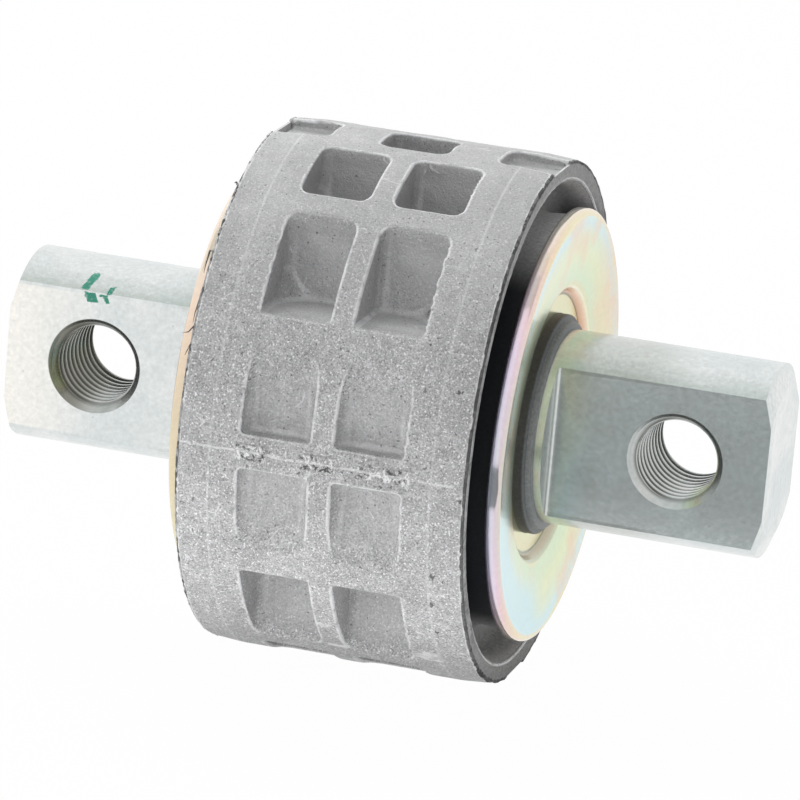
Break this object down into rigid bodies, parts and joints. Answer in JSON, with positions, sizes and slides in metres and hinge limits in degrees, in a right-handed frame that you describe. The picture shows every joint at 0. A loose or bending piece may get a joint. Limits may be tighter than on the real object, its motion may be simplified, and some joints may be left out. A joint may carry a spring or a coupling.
{
  "type": "cab bushing",
  "caption": "Bonded rubber cab bushing: round steel bar with flattened, tapped ends in a rubber spring inside a die-cast aluminium sleeve, with dished end discs.",
  "frame": {"origin": "centre of the bushing, on the bar's axis and halfway along it", "axes": "+X along the bar, +Y along the bolt holes through the flats, +Z in the draw direction of the sleeve's die"},
  "size_m": [0.17, 0.1146, 0.1145],
  "materials": {
    "sleeve_aluminium": "blasted die casting, matt, light grey",
    "rubber": "vulcanised, black, matt, with a dusty grey skin on its end rings",
    "pin_steel": "turned and milled, blue zinc plated, satin",
    "disc_steel": "pressed, yellow zinc passivated, glossy and iridescent"
  },
  "bodies": {
    "root": {"outer_sleeve": "sleeve_aluminium", "rubber_body": "rubber", "center_pin": "pin_steel", "end_disc_left": "disc_steel", "end_disc_right": "disc_steel"}
  },
  "joints": []
}
